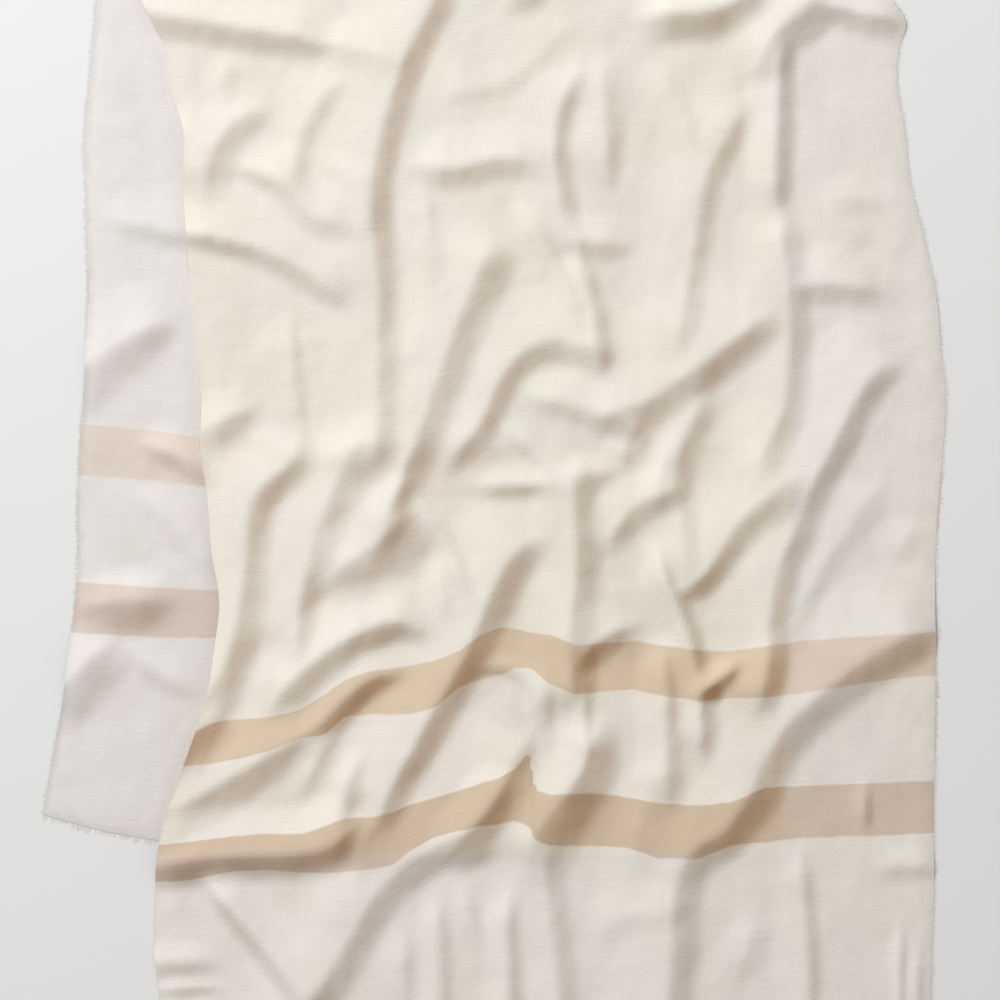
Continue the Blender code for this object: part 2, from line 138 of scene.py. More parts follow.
# The two woven ends with their fringes: across, down.
LOWER_END = ((20, 816), (45, 823), (100, 838), (155, 848), (300, 852), (790, 852))
UPPER_END = ((140, 1069), (300, 1064), (500, 1056), (700, 1048), (950, 1040))

# The folds. Each run is listed with its shaded, steep side on the right of the way it goes.
# name, rise in mm, width of the gentle side, width of the steep side at the start and at the end,
# run of (across, down)
UPPER_FOLDS = (
    ("top bar", 11, 50, 30, 28, ((90, 14), (160, 27), (200, 33), (230, 38), (262, 43), (290, 47), (336, 55))),
    ("left hook", 8, 34, 36, 28,
     ((213, 216), (218, 192), (222, 172), (228, 152), (240, 135), (259, 121), (284, 110))),
    ("small curl", 6, 40, 20, 22, ((301, 202), (304, 166), (309, 140), (318, 119), (333, 98), (356, 74))),
    ("left slope", 10, 40, 18, 30,
     ((226, 168), (250, 176), (270, 187), (285, 201), (301, 217), (322, 229), (360, 241))),
    ("left sweep", 10, 62, 20, 24,
     ((168, 238), (190, 240), (220, 247), (250, 255), (275, 265), (300, 278), (323, 294), (352, 317))),
    ("long groove", 11, 80, 26, 30,
     ((383, 486), (387, 440), (388, 400), (388, 340), (388, 290), (385, 250), (383, 212), (384, 180),
      (389, 150), (401, 102), (420, 52), (440, 12), (457, -40))),
    ("middle bar", 9, 44, 26, 30, ((398, 169), (440, 178), (468, 177), (496, 170), (520, 171), (552, 176))),
    ("high sweep", 3, 48, 22, 20, ((430, 108), (470, 98), (505, 91), (532, 72), (556, 50), (580, 20))),
    ("centre fall", 8, 50, 22, 20,
     ((594, 262), (575, 222), (567, 190), (563, 165), (563, 140), (567, 114), (576, 90), (592, 63))),
    ("centre soft", 7, 44, 20, 34, ((613, 198), (615, 160), (616, 120), (614, 84), (612, 44))),
    ("top right bar", 17, 40, 40, 30, ((630, 33), (676, 28), (704, 25), (732, 17), (784, -16))),
    ("long slope", 13, 72, 26, 42,
     ((383, 560), (393, 530), (402, 507), (411, 484), (419, 464), (430, 438), (442, 406), (454, 376),
      (465, 346), (476, 318), (487, 292), (499, 266), (518, 234))),
    ("right crown", 14, 50, 34, 42, ((752, 90), (772, 64), (790, 40), (816, 18), (856, -16))),
    ("right fall", 10, 34, 24, 20, ((784, 226), (784, 170), (785, 130), (786, 90), (789, 30))),
    ("right shelf", 9, 44, 28, 28, ((780, 300), (820, 295), (850, 297), (896, 305))),
    ("right long", 10, 54, 30, 26,
     ((756, 500), (774, 455), (786, 430), (795, 404), (798, 370), (800, 335), (799, 302), (796, 262),
      (791, 230), (787, 196))),
    ("edge bar", 12, 30, 18, 34, ((806, 4), (848, 20), (876, 28), (912, 34))),
    ("right slope", 8, 60, 24, 26,
     ((680, 366), (692, 312), (698, 280), (703, 248), (707, 220), (712, 190), (722, 164), (737, 136),
      (757, 92))),
    ("left bulge", 7, 36, 34, 28, ((184, 448), (225, 434), (270, 404))),
    ("left long", 12, 56, 40, 26,
     ((156, 812), (203, 738), (219, 706), (236, 672), (246, 640), (253, 605), (258, 565), (260, 530),
      (265, 503), (282, 485), (304, 462), (310, 420))),
    ("left long top", 4, 40, 16, 16, ((306, 452), (304, 410), (299, 370), (294, 306))),
    ("left second", 11, 50, 18, 44,
     ((302, 672), (307, 620), (313, 590), (321, 560), (332, 530), (343, 505), (355, 480), (374, 432))),
    ("left shoulder", 14, 44, 42, 60, ((320, 605), (354, 582), (384, 564), (410, 541), (442, 510))),
    ("centre arch", 10, 56, 22, 32,
     ((444, 482), (464, 456), (482, 437), (495, 414), (505, 393), (519, 371), (537, 357), (560, 353),
      (589, 359), (630, 371))),
    ("centre lip", 6, 34, 20, 24, ((512, 394), (548, 408), (584, 418), (624, 432), (650, 462))),
    ("right arm", 14, 90, 34, 34,
     ((580, 434), (644, 416), (668, 403), (689, 389), (708, 376), (726, 362), (745, 348), (762, 334),
      (790, 308))),
    ("centre post", 15, 50, 30, 34,
     ((592, 724), (585, 690), (582, 650), (583, 620), (587, 580), (588, 540), (586, 505), (585, 448))),
    ("long spine", 15, 70, 28, 36,
     ((378, 842), (405, 784), (423, 753), (439, 725), (454, 699), (470, 670), (485, 641), (498, 611),
      (511, 583), (528, 560), (560, 541))),
    ("post side", 9, 34, 26, 28, ((608, 564), (622, 538), (639, 518), (661, 505), (698, 491))),
    ("right post", 8, 44, 20, 30,
     ((692, 594), (691, 548), (689, 512), (684, 484), (687, 462), (694, 442), (703, 422), (712, 406),
      (724, 386))),
    ("right wing", 12, 66, 28, 28,
     ((760, 734), (775, 676), (779, 630), (782, 600), (790, 566), (803, 538), (813, 512), (825, 484),
      (839, 456), (854, 426), (869, 398), (885, 379), (912, 366))),
    ("right valley", 14, 60, 20, 40,
     ((668, 607), (699, 590), (717, 573), (731, 553), (746, 533), (765, 515), (818, 478))),
    ("left third", 16, 44, 36, 26,
     ((272, 728), (294, 698), (311, 681), (330, 665), (352, 649), (376, 638), (400, 633), (436, 646))),
    ("stripe shoulder", 12, 60, 50, 20,
     ((90, 888), (170, 830), (203, 811), (236, 791), (263, 774), (290, 757), (318, 740), (337, 722),
      (351, 706), (367, 692), (388, 681), (418, 674))),
    ("bottom bar", 16, 52, 32, 32,
     ((132, 884), (180, 873), (215, 869), (255, 867), (295, 865), (328, 859), (350, 846), (378, 815))),
    ("bar riser", 9, 40, 26, 18, ((342, 866), (349, 822), (355, 786), (368, 744))),
    ("bottom big", 11, 76, 32, 34,
     ((264, 1090), (326, 1000), (350, 962), (366, 934), (385, 904), (407, 880), (431, 863), (456, 850),
      (480, 836), (498, 816), (512, 793), (526, 767), (544, 722))),
    ("centre blob", 17, 50, 58, 32, ((538, 888), (556, 844), (570, 820), (584, 797), (599, 768), (617, 712))),
    ("bottom post", 9, 44, 26, 26, ((574, 1080), (569, 1000), (564, 950), (559, 905), (550, 834))),
    ("right big", 14, 80, 32, 40,
     ((676, 1080), (680, 1000), (685, 950), (687, 905), (692, 880), (706, 858), (730, 842), (748, 821),
      (762, 800), (773, 774), (790, 745), (812, 720), (837, 700), (863, 679), (901, 656), (950, 634))),
    ("stripe drop", 12, 34, 34, 30, ((676, 818), (679, 774), (679, 735), (678, 705), (676, 672), (672, 628))),
    ("right lower post", 6, 36, 16, 16, ((816, 1080), (815, 1000), (813, 950), (810, 905), (803, 836))),
)
FINE_UPPER_FOLDS = (
    ("top bar tail", 6, 34, 24, 34, ((296, 50), (344, 58), (404, 76))),
    ("left haze", 6, 30, 40, 38, ((197, 206), (197, 170), (200, 134), (207, 98))),
    ("left rise", 3, 22, 20, 20, ((228, 110), (231, 84), (236, 50))),
    ("middle tick", 4, 34, 20, 18, ((438, 294), (437, 240), (434, 212), (420, 170))),
    ("crown spot", 7, 20, 26, 26, ((494, 6), (524, 4), (556, -4))),
    ("right tick", 4, 30, 18, 18, ((695, 160), (694, 128), (682, 98), (662, 70), (642, 50))),
    ("right haze", 3, 30, 24, 26, ((806, 208), (852, 209), (894, 212))),
    ("knuckle", 6, 30, 26, 24, ((548, 243), (578, 250), (602, 252), (640, 254))),
    ("knuckle tail", 9, 36, 20, 20, ((612, 386), (604, 345), (600, 312), (592, 282), (578, 236))),
    ("inner fall", 5, 34, 16, 14, ((588, 346), (574, 296), (558, 258), (542, 226), (516, 190))),
    ("centre dip", 8, 26, 18, 18, ((462, 492), (515, 492), (566, 487))),
    ("groove foot", 5, 34, 40, 40, ((324, 482), (356, 464), (404, 458))),
    ("faint ridge", 6, 20, 14, 12, ((478, 606), (460, 558), (444, 526), (410, 486))),
    ("faint hollow", 5, 28, 24, 20, ((458, 626), (450, 588), (450, 550))),
    ("arm hollow", 6, 24, 30, 30, ((630, 482), (638, 450), (654, 416))),
    ("post spot", 5, 24, 24, 20, ((558, 488), (584, 482), (624, 479))),
    ("right faint", 4, 44, 20, 26,
     ((796, 664), (807, 618), (820, 588), (836, 562), (857, 534), (875, 506), (897, 478))),
    ("side dimple", 3, 24, 22, 22, ((900, 566), (912, 546), (926, 520))),
    ("thin fall", 14, 24, 26, 14,
     ((708, 772), (709, 730), (708, 700), (704, 672), (697, 644), (686, 612), (670, 576), (656, 534))),
    ("notch", 12, 18, 20, 16, ((688, 702), (716, 689), (752, 656))),
    ("stripe lip", 9, 60, 28, 24, ((576, 676), (602, 652), (620, 639), (644, 630))),
    ("small arc", 5, 20, 14, 12, ((466, 672), (500, 672), (520, 682), (530, 704), (533, 752))),
    ("small post", 3, 18, 14, 14, ((551, 784), (552, 735), (551, 700), (544, 646))),
    ("small side", 5, 16, 12, 12, ((588, 770), (589, 726), (586, 686))),
    ("stripe pool", 5, 30, 46, 36, ((654, 880), (656, 834), (664, 792), (674, 748))),
    ("low tick", 8, 24, 28, 24, ((308, 806), (323, 772), (346, 732))),
    ("stripe hollow", 6, 26, 40, 40, ((368, 888), (384, 842), (398, 800))),
    ("end soft", 8, 30, 20, 18, ((516, 1070), (516, 970), (513, 878))),
    ("end faint", 5, 26, 18, 16, ((447, 1070), (446, 970), (443, 880))),
    ("end slant", 5, 24, 16, 14, ((490, 956), (474, 908), (458, 870))),
    ("end side", 4, 28, 16, 16, ((416, 1020), (410, 962), (412, 920))),
    ("end crease", 15, 36, 14, 24,
     ((196, 872), (215, 898), (236, 924), (258, 950), (276, 973), (295, 998), (322, 1034))),
    ("end pucker", 5, 24, 20, 20, ((120, 970), (180, 970), (232, 966))),
    ("end nip", 4, 12, 8, 8, ((146, 992), (190, 991), (232, 989))),
    ("spine foot", 3, 24, 18, 18, ((446, 874), (480, 862), (512, 846))),
    ("corner pucker", 4, 26, 20, 20, ((866, 873), (905, 874), (948, 876))),
    ("corner pleat", 4, 12, 8, 8, ((904, 1040), (903, 970), (903, 910))),
    ("corner nip", 4, 12, 10, 10, ((921, 1040), (920, 985), (921, 942))),
    ("stripe nick", 5, 14, 8, 9, ((868, 836), (868, 806), (869, 776))),
    ("flat dimple", 3, 30, 24, 24, ((640, 934), (674, 916), (706, 906))),
    ("flat ripple", 3, 30, 26, 26, ((742, 990), (756, 950), (770, 910))),
    ("low ripple", 3, 30, 26, 26, ((590, 956), (622, 930), (660, 912))),
    ("left foot", 8, 30, 36, 34, ((172, 780), (204, 744), (242, 714))),
    ("big top", 10, 36, 44, 40, ((446, 874), (474, 848), (496, 823), (511, 799), (526, 762))),
    ("wing foot", 7, 28, 36, 28, ((762, 716), (777, 670), (785, 626))),
    ("slope foot", 6, 20, 20, 18, ((394, 522), (402, 498), (413, 472))),
    ("groove hook", 5, 24, 26, 16, ((314, 168), (336, 175), (351, 191), (360, 214), (363, 246))),
    ("post hollow", 6, 24, 26, 26, ((660, 524), (668, 488), (678, 456), (690, 424))),
    ("thin line", 6, 30, 12, 12, ((492, 420), (510, 438), (530, 458), (544, 478), (552, 512))),
)
LOWER_FOLDS = (
    ("left sweep", 5, 44, 22, 20, ((96, 222), (136, 232), (164, 239), (205, 246), (250, 254))),
    ("hidden knee", 9, 52, 58, 28, ((54, 424), (87, 393), (112, 371), (136, 353), (162, 337), (190, 327))),
    ("stripe shade", 11, 36, 44, 40, ((70, 622), (130, 617), (184, 610))),
    ("low blotch", 11, 44, 50, 44, ((44, 730), (80, 697), (108, 667), (134, 636))),
    ("stripe streak", 7, 26, 18, 18, ((128, 444), (160, 456), (182, 468), (216, 496))),
    ("faint run", 4, 30, 20, 20, ((120, 486), (160, 524), (190, 560), (216, 598))),
    ("low valley", 4, 30, 18, 18, ((114, 636), (150, 676), (206, 704))),
    ("edge curl", 4, 12, 9, 8, ((24, 850), (34, 820), (43, 786), (52, 744), (63, 690))),
)
# The two tan bands of the upper half as its folds leave them. A row for each station across.
# across, down to the first edge and the second edge of the upper band, then of the lower band
UPPER_BANDS = (
    (140, 752, 768, 846, 882),
    (190, 734, 765, 841, 880),
    (215, 722, 763, 838, 874),
    (240, 719, 758, 835, 870),
    (270, 717, 750, 833, 869),
    (300, 710, 738, 834, 872),
    (325, 694, 734, 826, 873),
    (345, 680, 716, 817, 872),
    (370, 671, 714, 817, 869),
    (392, 668, 714, 812, 865),
    (410, 666, 714, 804, 850),
    (435, 660, 707, 798, 836),
    (460, 650, 686, 790, 829),
    (480, 635, 679, 783, 825),
    (500, 627, 675, 777, 823),
    (515, 629, 668, 768, 820),
    (530, 632, 667, 750, 826),
    (534, 633, 670, 790, 838),
    (550, 635, 684, 794, 845),
    (575, 645, 694, 793, 846),
    (600, 643, 692, 793, 846),
    (630, 641, 689, 798, 848),
    (660, 645, 695, 803, 858),
    (700, 650, 701, 805, 858),
    (730, 651, 698, 802, 845),
    (765, 646, 697, 787, 842),
    (800, 641, 693, 786, 838),
    (850, 637, 685, 784, 836),
    (900, 634, 678, 782, 835),
    (950, 631, 674, 780, 832),
)
# The same two bands on the lower half, which lies straighter.
LOWER_BANDS = (
    (20, 421, 472, 578, 630),
    (80, 424, 475, 582, 633),
    (150, 430, 480, 587, 637),
    (210, 438, 487, 590, 638),
    (400, 446, 500, 590, 634),
    (790, 446, 500, 590, 634),
)

# Each half: outline columns of its edges, its woven end, its bands, its length from fold to end, and
# how far each edge is frayed.
Half = namedtuple("Half", "left right end bands length fray")
UPPER = Half(
    3, 4, UPPER_END, UPPER_BANDS, UPPER_LENGTH, dict(left=WHOLE_FRAY, right=SIDE_FRAY, end=END_FRAY))
LOWER = Half(
    1, 2, LOWER_END, LOWER_BANDS, LOWER_LENGTH, dict(left=SIDE_FRAY, right=SIDE_FRAY, end=END_FRAY))

# Cells across and down in each half, and rows in the roll between them.
UPPER_CELLS = (172, 244)
LOWER_CELLS = (150, 190)
ROLL_ROWS = 10
RIM_SHARE = 0.00015       # the first and last cell are this share of the sheet
FIRST_GUESS = 600.0       # first guess at how far down the woven end lies
PLACE_ROUNDS = 6          # and how often it is mended
LEE_WAY = (0.72, -0.69)   # the way the light goes, to the lower right
LOWER_UNDER = -1.0        # "under" on the lower half, which has no layer below it
LOWER_BENEATH = 2.0       # "beneath" there: no band lies this far from an end
WEAVE_REPEAT = 0.00105    # the weave repeats at this distance
BAND_WANDER = 0.0022      # the bands' edges stray by this much
BAND_SOFT = 0.0013        # and are this soft,
GHOST_SOFT = 0.006        # or this soft through another layer

# The loose yarn ends.
FRAY_PITCH = 0.0012       # from one loose yarn to the next
FRAY_ROOT = 0.0012        # a loose yarn starts this far inside the cloth's edge
FRAY_STEPS = 4
EDGE_PROBES = 400         # places that measure an edge's length
EDGE_STEP = 0.002         # share of an edge that gives its direction
TUFT_WIDTHS = (0.35, 1.65)    # shares of a tuft's usual width
TUFT_REACHES = (0.6, 1.0)     # how far a tuft stands out, as a share of the fray,
YARN_REACHES = (0.55, 1.1)    # and a yarn, as a share of its tuft
LEAST_PULL = 0.05         # a yarn is drawn to its tuft's middle by at least this share
YARN_BEND = 0.4           # how strongly it bends aside, as a share of its length
BEND_TURN = 0.4           # where along it the bend crosses over
YARN_BOW = 0.0005         # it bows up by up to this much
YARN_TAPER = 0.45         # its tip is thinner by this share
YARN_DROP = 0.6           # its root lies this share of its thickness below the cloth's top
YARN_REST = 0.55          # and it stays at least this share above the surface


def smooth(share):
    """Ease from 0 to 1."""
    share = np.clip(share, 0.0, 1.0)
    return share * share * (3.0 - 2.0 * share)


def follow(rows, column, at):
    """Read one column of a table at any station, along a smooth curve through its rows."""
    stations = np.array([row[0] for row in rows], dtype=float)
    values = np.array([row[column] for row in rows], dtype=float)
    slopes = np.gradient(values, stations)
    at = np.clip(np.asarray(at, dtype=float), stations[0], stations[-1])
    index = np.clip(np.searchsorted(stations, at) - 1, 0, len(stations) - 2)
    step = stations[index + 1] - stations[index]
    t = (at - stations[index]) / step
    start = values[index] + t * (1 - t) * (1 - t) * slopes[index] * step
    start = start - (3 * t * t - 2 * t ** 3) * values[index]
    end = (3 * t * t - 2 * t ** 3) * values[index + 1] - t * t * (1 - t) * slopes[index + 1] * step
    return start + end


def run_curve(run):
    """Points along a smooth curve through a fold's run, their steep-side normals and their distances."""
    knots = np.array(run, dtype=float)
    ends = (2 * knots[0] - knots[1], 2 * knots[-1] - knots[-2])
    knots = np.vstack([ends[0], knots, ends[1]])
    points = []
    for a, b, c, d in zip(knots[:-3], knots[1:-2], knots[2:-1], knots[3:]):
        count = max(2, int(np.hypot(*(c - b)) / RUN_SPACING))
        for t in np.arange(count) / count:
            points.append(0.5 * (2 * b + (c - a) * t + (2 * a - 5 * b + 4 * c - d) * t * t
                                 + (3 * b - a - 3 * c + d) * t ** 3))
    points.append(knots[-2])
    points = np.array(points)
    tangents = np.gradient(points, axis=0)
    tangents /= np.hypot(tangents[:, 0], tangents[:, 1])[:, None]
    normals = np.column_stack([-tangents[:, 1], tangents[:, 0]])
    steps = np.hypot(*np.diff(points, axis=0).T)
    return points, normals, np.concatenate([[0.0], np.cumsum(steps)])


def fold_rise(across, down, fold):
    """Height in metres that one fold adds at places of the plan."""
    rise, gentle, steep_start, steep_end, run = fold[1:]
    points, normals, distances = run_curve(run)
    reach = gentle + max(steep_start, steep_end)
    near = ((across > points[:, 0].min() - reach) & (across < points[:, 0].max() + reach)
            & (down > points[:, 1].min() - reach) & (down < points[:, 1].max() + reach))
    height = np.zeros(across.shape)
    place = np.column_stack([across[near], down[near]])
    if len(place) == 0:
        return height
    offset = place[:, None, :] - points[None, :, :]
    away = np.hypot(offset[:, :, 0], offset[:, :, 1])
    nearest = away.min(axis=1, keepdims=True)
    weight = np.exp(-(away - nearest) / (RUN_BLUR[0] + RUN_BLUR[1] * nearest))
    weight /= weight.sum(axis=1, keepdims=True)
    along = (weight * distances[None, :]).sum(axis=1)
    side = (weight * (offset * normals[None, :, :]).sum(axis=2)).sum(axis=1)
    total = distances[-1]
    taper = min(TIP_SHARE * total, TIP_LENGTH)
    tip = smooth(along / taper) * smooth((total - along) / taper)
    tip *= 1.0 - smooth((nearest[:, 0] / reach - REACH_SHARE) / (1.0 - REACH_SHARE))
    slim = TIP_SLIM + (1.0 - TIP_SLIM) * tip
    steep = (steep_start + (steep_end - steep_start) * along / total) * slim
    crest = -CREST_SHARE * steep
    back = np.clip((crest - side) / (gentle * slim), 0.0, 1.0)
    front = np.clip(1.0 - (side - crest) / steep, 0.0, 1.0)
    gentle_side = (1 - back) ** 2 * (1 + 2 * back) * (1 - SAG * back * (1 - back))
    steep_side = 0.5 * front ** CREST_SHARP + 0.5 * smooth(front)
    height[near] = 0.001 * rise * tip * np.where(side < crest, gentle_side, steep_side)
    return height


def rumple(across, down, folds):
    """Height in metres of all the folds of one half together."""
    total = sum(fold_rise(across, down, fold) for fold in folds)
    return FOLD_CAP * np.tanh(total / FOLD_CAP)


def crinkle(across, down, kind):
    """The small crinkle of the washed gauze, in metres."""
    depth, lift, seed = kind
    out = np.empty(across.shape)
    for index, (a, d) in enumerate(zip(across, down)):
        broad = noise.noise(Vector((a / BROAD_WAVE[0], d / BROAD_WAVE[1], seed)))
        fine = noise.noise(Vector((a / FINE_WAVE[0], d / FINE_WAVE[1], seed + 9.0)))
        out[index] = depth * (BROAD_WAVE[2] * broad + FINE_WAVE[2] * fine)
    return out + lift


def lower_shape(across, down, wall):
    """Top surface of the lower half: folded where it shows and flat under the upper half."""
    clear = follow(OUTLINE, UPPER.left, down) + HIDDEN_REACH - across
    shown = smooth(clear / HIDDEN_FADE)
    inside = smooth((down - FOLD_DOWN) / ROLL_CALM)
    return wall + rumple(across, down, LOWER_FOLDS) * shown * inside


def below_upper(across, down):
    """How far inside the lower half's hidden outline a place lies, in plan units."""
    beyond_side = across - follow(OUTLINE, LOWER.right, down)
    beyond_end = down - follow(LOWER_END, 1, across)
    return -np.maximum(beyond_side, beyond_end)


def inside_edges(across, down, half):
    """0 on a half's own edges, rising to 1 a little way in from them."""
    from_left = across - follow(OUTLINE, half.left, down)
    from_side = np.minimum(from_left, follow(OUTLINE, half.right, down) - across)
    to_end = follow(half.end, 1, across) - down
    return smooth((np.minimum(from_side, to_end) - SIDE_FRAY / UNIT) / EDGE_CALM)


def frayed_edge(across, down, half):
    """Distance in metres to the nearest frayed side or end of the cloth."""
    from_side = follow(OUTLINE, half.right, down) - across
    if half == LOWER:
        from_side = across - follow(OUTLINE, half.left, down)
    to_end = follow(half.end, 1, across) - down
    return np.minimum(from_side * UNIT - SIDE_FRAY, to_end * UNIT - END_FRAY)


def upper_folds(across, down):
    """Rise of the upper half's own folds, large and small."""
    return rumple(across, down, UPPER_FOLDS + FINE_UPPER_FOLDS)


def upper_shape(across, down, wall):
    """Top surface of the upper half, over the lower half or on the surface beside it."""
    over = smooth(1.0 + (below_upper(across, down) + STEP_START) / LOWER_STEP)
    base = (lower_shape(across, down, wall) + LAYER_GAP * wall) * over
    roll = smooth(1.0 - (down - FOLD_DOWN) * UNIT / FOLD_SETTLE)
    small = crinkle(across, down, UPPER_CRINKLE) * inside_edges(across, down, UPPER)
    folded = (upper_folds(across, down) + small) * (1.0 - roll)
    return np.maximum(base + folded, base) * (1.0 - roll) + wall + (FOLD_ROLL - wall) * roll


def to_metres(across, down, height):
    """Places of the plan as points in metres."""
    return np.column_stack([(across - MIDDLE_ACROSS) * UNIT, (MIDDLE_DOWN - down) * UNIT, height])


def half_places(u, v, half):
    """Places on one half: u runs from its left edge to its right edge, v from fold to end."""
    down = FOLD_DOWN + v * (FIRST_GUESS - FOLD_DOWN)
    for _ in range(PLACE_ROUNDS):
        first = follow(OUTLINE, half.left, down) + half.fray["left"] / UNIT
        last = follow(OUTLINE, half.right, down) - half.fray["right"] / UNIT
        across = first + u * (last - first)
        finish = follow(half.end, 1, across) - half.fray["end"] / UNIT
        down = FOLD_DOWN + v * (finish - FOLD_DOWN)
    return across, down


def from_end(across, down, half):
    """Distance in metres along the cloth from the woven end, as the weave runs at each place."""
    stations, *band_edges = zip(*half.bands)
    knots = [np.full(across.shape, FOLD_DOWN)]
    knots += [np.interp(across, stations, band_edge) for band_edge in band_edges]
    knots += [follow(half.end, 1, across) - END_FRAY / UNIT]
    levels = (half.length, SECOND_BAND[1], SECOND_BAND[0], FIRST_BAND[1], FIRST_BAND[0], 0.0)
    out = np.full(across.shape, half.length)
    for low, high, above, below in zip(knots[:-1], knots[1:], levels[:-1], levels[1:]):
        share = np.clip((down - low) / (high - low), 0.0, 1.0)
        out = np.where(down >= low, above + (below - above) * share, out)
    return out


def tone(name, description, default):
    """A colour that a user may change."""
    return FloatVectorProperty(
        name=name, description=description, default=default, size=3, min=0.0, max=1.0, subtype="COLOR")


class ScarfSettings(bpy.types.PropertyGroup):
    """Sizes and colours that a user may change."""

    wall: FloatProperty(
        name="Cloth thickness", description="Thickness of the gauze shell", default=0.0003, min=0.0002,
        max=0.001, unit="LENGTH", subtype="DISTANCE", precision=4)
    yarn: FloatProperty(
        name="Yarn thickness", description="Thickness of a loose yarn end", default=0.00042,
        unit="LENGTH", subtype="DISTANCE", precision=5)
    linen: tone("Cream cloth", "Undyed gauze over another layer", (0.934, 0.898, 0.814))
    sheer: tone("Sheer cloth", "Upper half alone over the surface", (0.935, 0.90, 0.85))
    pale: tone("Pale cloth", "Lower half where it shows", (0.915, 0.893, 0.87))
    tan: tone("Band", "Tan bands over another layer, as a share of the cream", (0.87, 0.75, 0.63))
    sheer_tan: tone("Sheer band", "The same for the upper half alone", (0.90, 0.81, 0.72))
    pale_tan: tone("Pale band", "The same for the lower half", (0.963, 0.88, 0.806))
    surface: tone("Surface", "The pale surface under the scarf", (0.77, 0.77, 0.77))


class Wire:
    """A socket that can be added, subtracted and multiplied like a number."""

    def __init__(self, nodes, socket):
        self.nodes = nodes
        self.socket = socket

    def math(self, operation, other=None):
        inputs = {0: self}
        if other is not None:
            inputs[1] = other
        return self.nodes.add("Math", inputs, {"operation": operation})

    def __add__(self, other):
        return self.math("ADD", other)

    def __mul__(self, other):
        return self.math("MULTIPLY", other)

    def __sub__(self, other):
        return self.math("SUBTRACT", other)

    def __rsub__(self, other):
        return self.nodes.add("Math", {0: other, 1: self}, {"operation": "SUBTRACT"})

    def between(self, low, high):
        """0 below low, 1 above high, and a smooth step between them."""
        return self.nodes.add(
            "MapRange", {0: self, 1: low, 2: high, 3: 0.0, 4: 1.0}, {"interpolation_type": "SMOOTHSTEP"})


class Nodes:
    """A material's node tree."""

    def __init__(self, name):
        self.material = bpy.data.materials.new(name)
        self.material.use_nodes = True
        self.tree = self.material.node_tree
        self.tree.nodes.clear()

    def add(self, kind, inputs=None, settings=None, output=0):
        """A new node with its inputs and settings. Gives one of its outputs."""
        node = self.tree.nodes.new("ShaderNode" + kind)
        for key, value in (settings or {}).items():
            setattr(node, key, value)
        for key, value in (inputs or {}).items():
            socket = node.inputs[key]
            if isinstance(value, Wire):
                self.tree.links.new(value.socket, socket)
            elif socket.type == "RGBA":
                socket.default_value = (*value[:3], 1.0)
            else:
                socket.default_value = value
        return Wire(self, node.outputs[output]) if node.outputs else None

    def mix(self, share, first, second):
        """Two colours blended by a share of the second."""
        return self.add("Mix", {0: share, 6: first, 7: second}, {"data_type": "RGBA"}, 2)

    def tint(self, share, first, second):
        """The first colour multiplied by the second, by a share."""
        settings = {"data_type": "RGBA", "blend_type": "MULTIPLY"}
        return self.add("Mix", {0: share, 6: first, 7: second}, settings, 2)

    def attribute(self, name):
        return self.add("Attribute", None, {"attribute_name": name}, 2)

    def noise(self, vector, scale, detail=2.0):
        return self.add("TexNoise", {"Vector": vector, "Scale": scale, "Detail": detail})

    def stretched(self, vector, scale):
        """A vector scaled differently each way."""
        return self.add("Mapping", {"Vector": vector, "Scale": scale})

    def cloth_axes(self):
        """Width and length along the cloth in metres, and the two together."""
        uv = self.add("UVMap", None, {"uv_map": "cloth"})
        split = self.add("SeparateXYZ", {0: uv})
        width, length = split.socket.node.outputs[:2]
        return Wire(self, width), Wire(self, length), uv

    def finish(self, surface):
        self.add("OutputMaterial", {"Surface": surface})
        return self.material


def woven_band(length, wander, soft=BAND_SOFT):
    """1 inside the two tan bands, 0 outside, with slightly uneven picks at their edges."""
    place = length + wander
    mask = 0.0
    for low, high in (FIRST_BAND, SECOND_BAND):
        mask = place.between(low - soft, low + soft) * (1.0 - place.between(high - soft, high + soft)) + mask
    return mask


